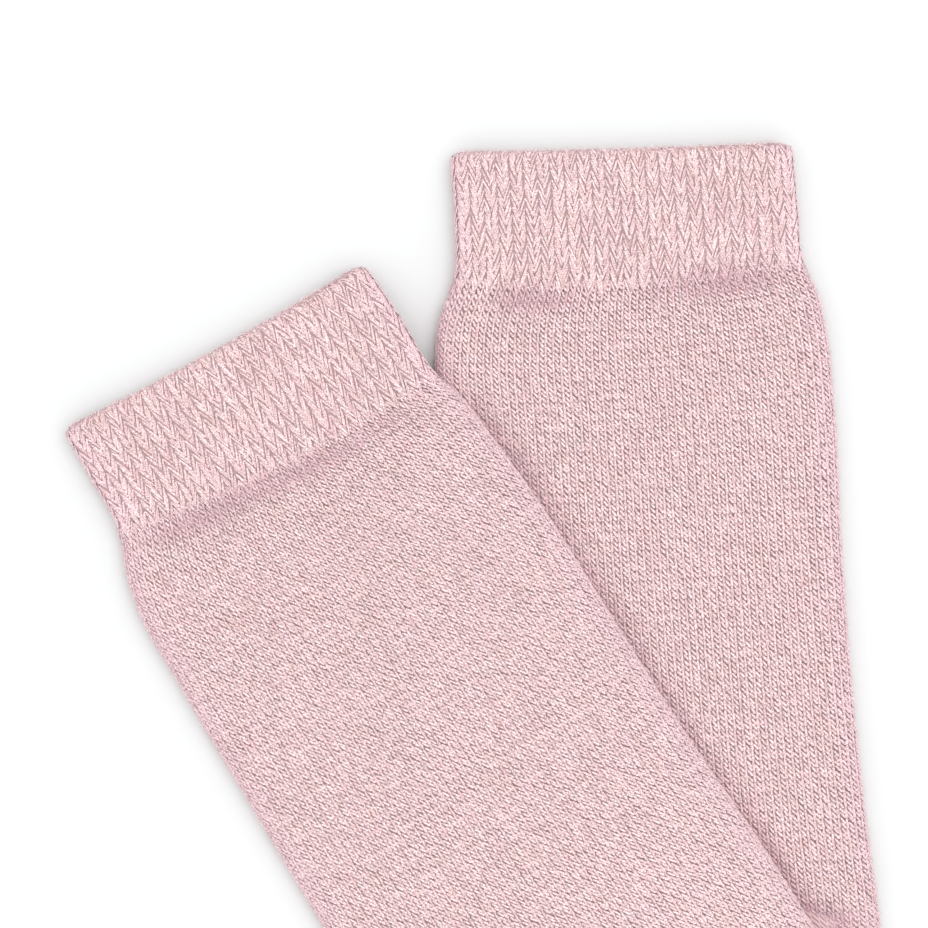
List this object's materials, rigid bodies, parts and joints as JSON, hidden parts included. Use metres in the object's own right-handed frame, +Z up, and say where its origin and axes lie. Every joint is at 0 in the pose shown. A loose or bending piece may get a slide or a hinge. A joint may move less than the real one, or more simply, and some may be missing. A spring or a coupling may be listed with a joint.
{
  "type": "pair of wool socks",
  "caption": "Knee-high knitted wool socks laid flat, one crossing over the other, with ribbed cuffs, turned heels and closed rounded toes.",
  "frame": {"origin": "on the floor under the middle of the pair's bounding box", "axes": "+Z up from the floor the socks lie on, +X to the right and +Y up the legs towards the cuffs, seen from above"},
  "size_m": [0.4852, 0.532, 0.0113],
  "materials": {
    "rib_knit": "matte pale pink wool in a one-by-one rib",
    "plain_knit": "matte pale pink wool in fine plain stitch",
    "heel_knit": "matte pale pink wool in fine plain stitch, turned",
    "toe_knit": "matte pale pink wool in fine plain stitch, closed"
  },
  "bodies": {
    "root": {"upper_cuff": "rib_knit", "upper_leg": "plain_knit", "upper_heel": "heel_knit", "upper_foot": "plain_knit", "upper_toe": "toe_knit", "lower_cuff": "rib_knit", "lower_leg": "plain_knit", "lower_heel": "heel_knit", "lower_foot": "plain_knit", "lower_toe": "toe_knit"}
  },
  "joints": []
}
